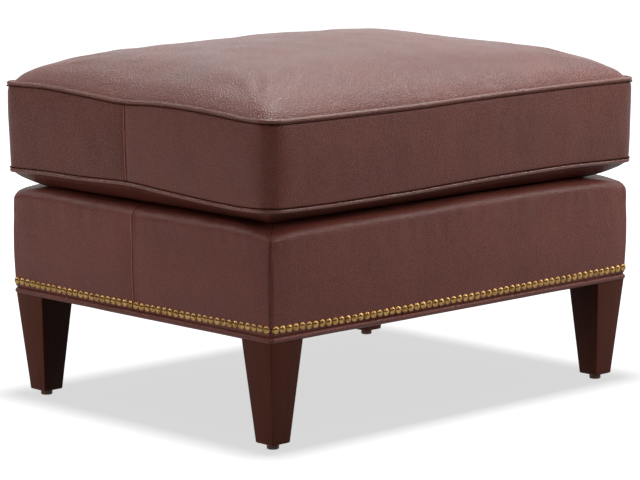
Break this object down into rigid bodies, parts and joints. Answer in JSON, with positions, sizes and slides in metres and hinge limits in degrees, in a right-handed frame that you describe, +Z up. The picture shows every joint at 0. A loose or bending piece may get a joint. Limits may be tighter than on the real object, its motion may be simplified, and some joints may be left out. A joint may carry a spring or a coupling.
{
  "type": "upholstered footstool",
  "caption": "Rectangular leather footstool with a crowned, welted box cushion on a sprung base with brass nail trim and tapered wooden legs.",
  "frame": {"origin": "on the floor, under the middle of the stool", "axes": "+Z up, +X along the long side to the right, -Y out of the long front side; the zip is at the back, +Y"},
  "size_m": [0.6992, 0.5407, 0.4855],
  "materials": {
    "leather": "satin",
    "leg_wood": "satin",
    "frame_wood": "matte",
    "steel": "satin",
    "antique_brass": "satin",
    "glide_nylon": "matte",
    "foam": "matte",
    "padding": "matte",
    "insulator_felt": "matte",
    "deck_cloth": "matte",
    "dust_cloth": "matte",
    "zip_tape": "matte"
  },
  "bodies": {
    "base": {"leg_front_left": "leg_wood", "glide_front_left": "glide_nylon", "leg_bolt_front_left": "steel", "leg_nut_front_left": "steel", "corner_block_front_left": "frame_wood", "leg_front_right": "leg_wood", "glide_front_right": "glide_nylon", "leg_bolt_front_right": "steel", "leg_nut_front_right": "steel", "corner_block_front_right": "frame_wood", "leg_back_right": "leg_wood", "glide_back_right": "glide_nylon", "leg_bolt_back_right": "steel", "leg_nut_back_right": "steel", "corner_block_back_right": "frame_wood", "leg_back_left": "leg_wood", "glide_back_left": "glide_nylon", "leg_bolt_back_left": "steel", "leg_nut_back_left": "steel", "corner_block_back_left": "frame_wood", "rail_front": "frame_wood", "rail_back": "frame_wood", "rail_left": "frame_wood", "rail_right": "frame_wood", "spring_1": "steel", "spring_clip_front_1": "steel", "spring_clip_back_1": "steel", "spring_2": "steel", "spring_clip_front_2": "steel", "spring_clip_back_2": "steel", "spring_3": "steel", "spring_clip_front_3": "steel", "spring_clip_back_3": "steel", "spring_4": "steel", "spring_clip_front_4": "steel", "spring_clip_back_4": "steel", "deck_insulator": "insulator_felt", "deck_foam": "foam", "deck_cloth": "deck_cloth", "cover_front": "leather", "cover_back": "leather", "cover_right_front": "leather", "cover_right_back": "leather", "cover_left_front": "leather", "cover_left_back": "leather", "base_padding": "padding", "base_welt": "leather", "nail_trim": "antique_brass", "dust_cover": "dust_cloth"},
    "cushion": {"cushion_top": "leather", "cushion_underside": "leather", "boxing_front": "leather", "boxing_back": "leather", "cushion_core": "foam", "cushion_welt_upper": "leather", "cushion_welt_lower": "leather", "zip_chain": "zip_tape"},
    "zip_slider": {"zip_slider": "antique_brass"},
    "zip_pull": {"zip_pull": "antique_brass"}
  },
  "joints": [
    {"name": "cushion_lift", "type": "slide", "parent": "base", "child": "cushion", "axis": [0, 0, 1], "range_m": [0, 0.15]},
    {"name": "zip_slide", "type": "slide", "parent": "cushion", "child": "zip_slider", "axis": [-1, 0, 0], "range_m": [0, 0.446]},
    {"name": "zip_pull_turn", "type": "hinge", "parent": "zip_slider", "child": "zip_pull", "pos_m": [0.223, 0.2694, 0.3685], "axis": [0, 0, -1], "range_deg": [0, 170]}
  ]
}
